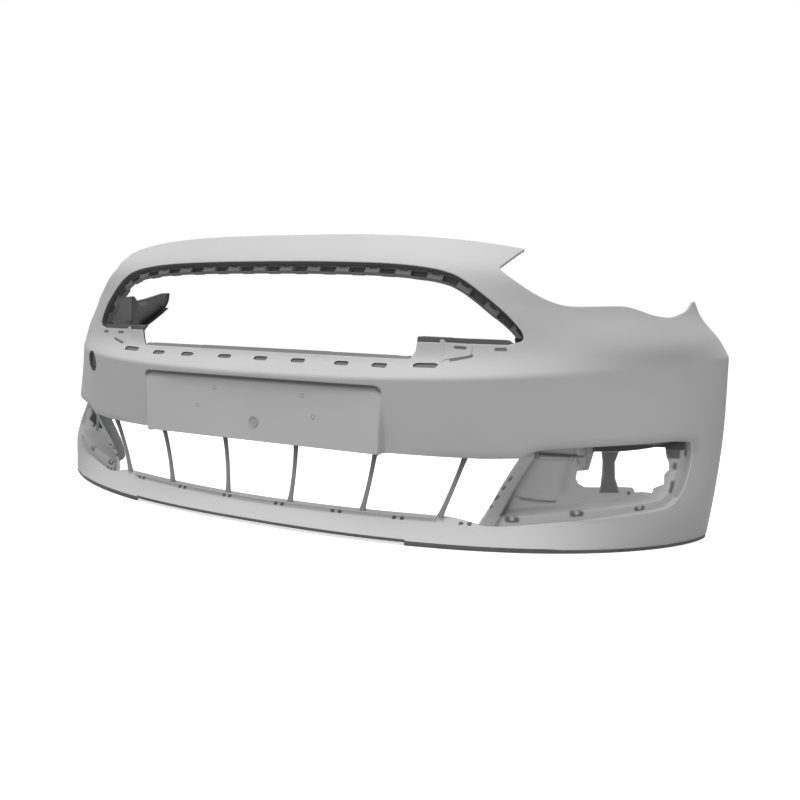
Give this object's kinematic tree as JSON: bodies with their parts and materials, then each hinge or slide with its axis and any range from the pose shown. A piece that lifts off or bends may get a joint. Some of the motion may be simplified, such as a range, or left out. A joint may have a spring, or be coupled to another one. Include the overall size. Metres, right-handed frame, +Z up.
{
  "type": "bumper cover",
  "caption": "Primed front bumper cover of a compact people carrier, with an upper grille opening, number-plate panel, fog-lamp pockets and a lip.",
  "frame": {"origin": "floor under the middle of the cover, at the centre of its plan", "axes": "+Z up, -Y the car's forward direction, +X the car's left side"},
  "size_m": [1.7734, 0.6285, 0.612],
  "materials": {
    "grey_primer": "satin primer",
    "shadow_primer": "thin primer",
    "raw_back": "raw moulding",
    "black_plastic": "grained",
    "rubber_strip": "matt"
  },
  "bodies": {
    "root": {"arch_flange_left": "raw_back", "arch_flange_right": "raw_back", "beam_flange": "raw_back", "beam_panel": "grey_primer", "fog_lamp_bracket_left": "black_plastic", "fog_lamp_bracket_right": "black_plastic", "fog_pocket_left": "shadow_primer", "fog_pocket_right": "shadow_primer", "grille_clip_plate_left": "shadow_primer", "grille_clip_plate_right": "shadow_primer", "grille_rim": "shadow_primer", "headlamp_bracket_left": "black_plastic", "headlamp_bracket_right": "black_plastic", "headlamp_flange_left": "raw_back", "headlamp_flange_right": "raw_back", "intake_ledge": "raw_back", "lip_strip_centre": "rubber_strip", "lip_strip_left": "rubber_strip", "lip_strip_right": "rubber_strip", "lower_lip": "grey_primer", "nose_strip": "grey_primer", "plate_panel": "grey_primer", "tie_bar_1": "black_plastic", "tie_bar_2": "black_plastic", "tie_bar_3": "black_plastic", "tie_bar_4": "black_plastic", "tie_bar_5": "black_plastic", "tie_bar_6": "black_plastic", "top_flange": "raw_back", "undertray_flange": "raw_back", "wing_left": "grey_primer", "wing_right": "grey_primer"}
  },
  "joints": []
}
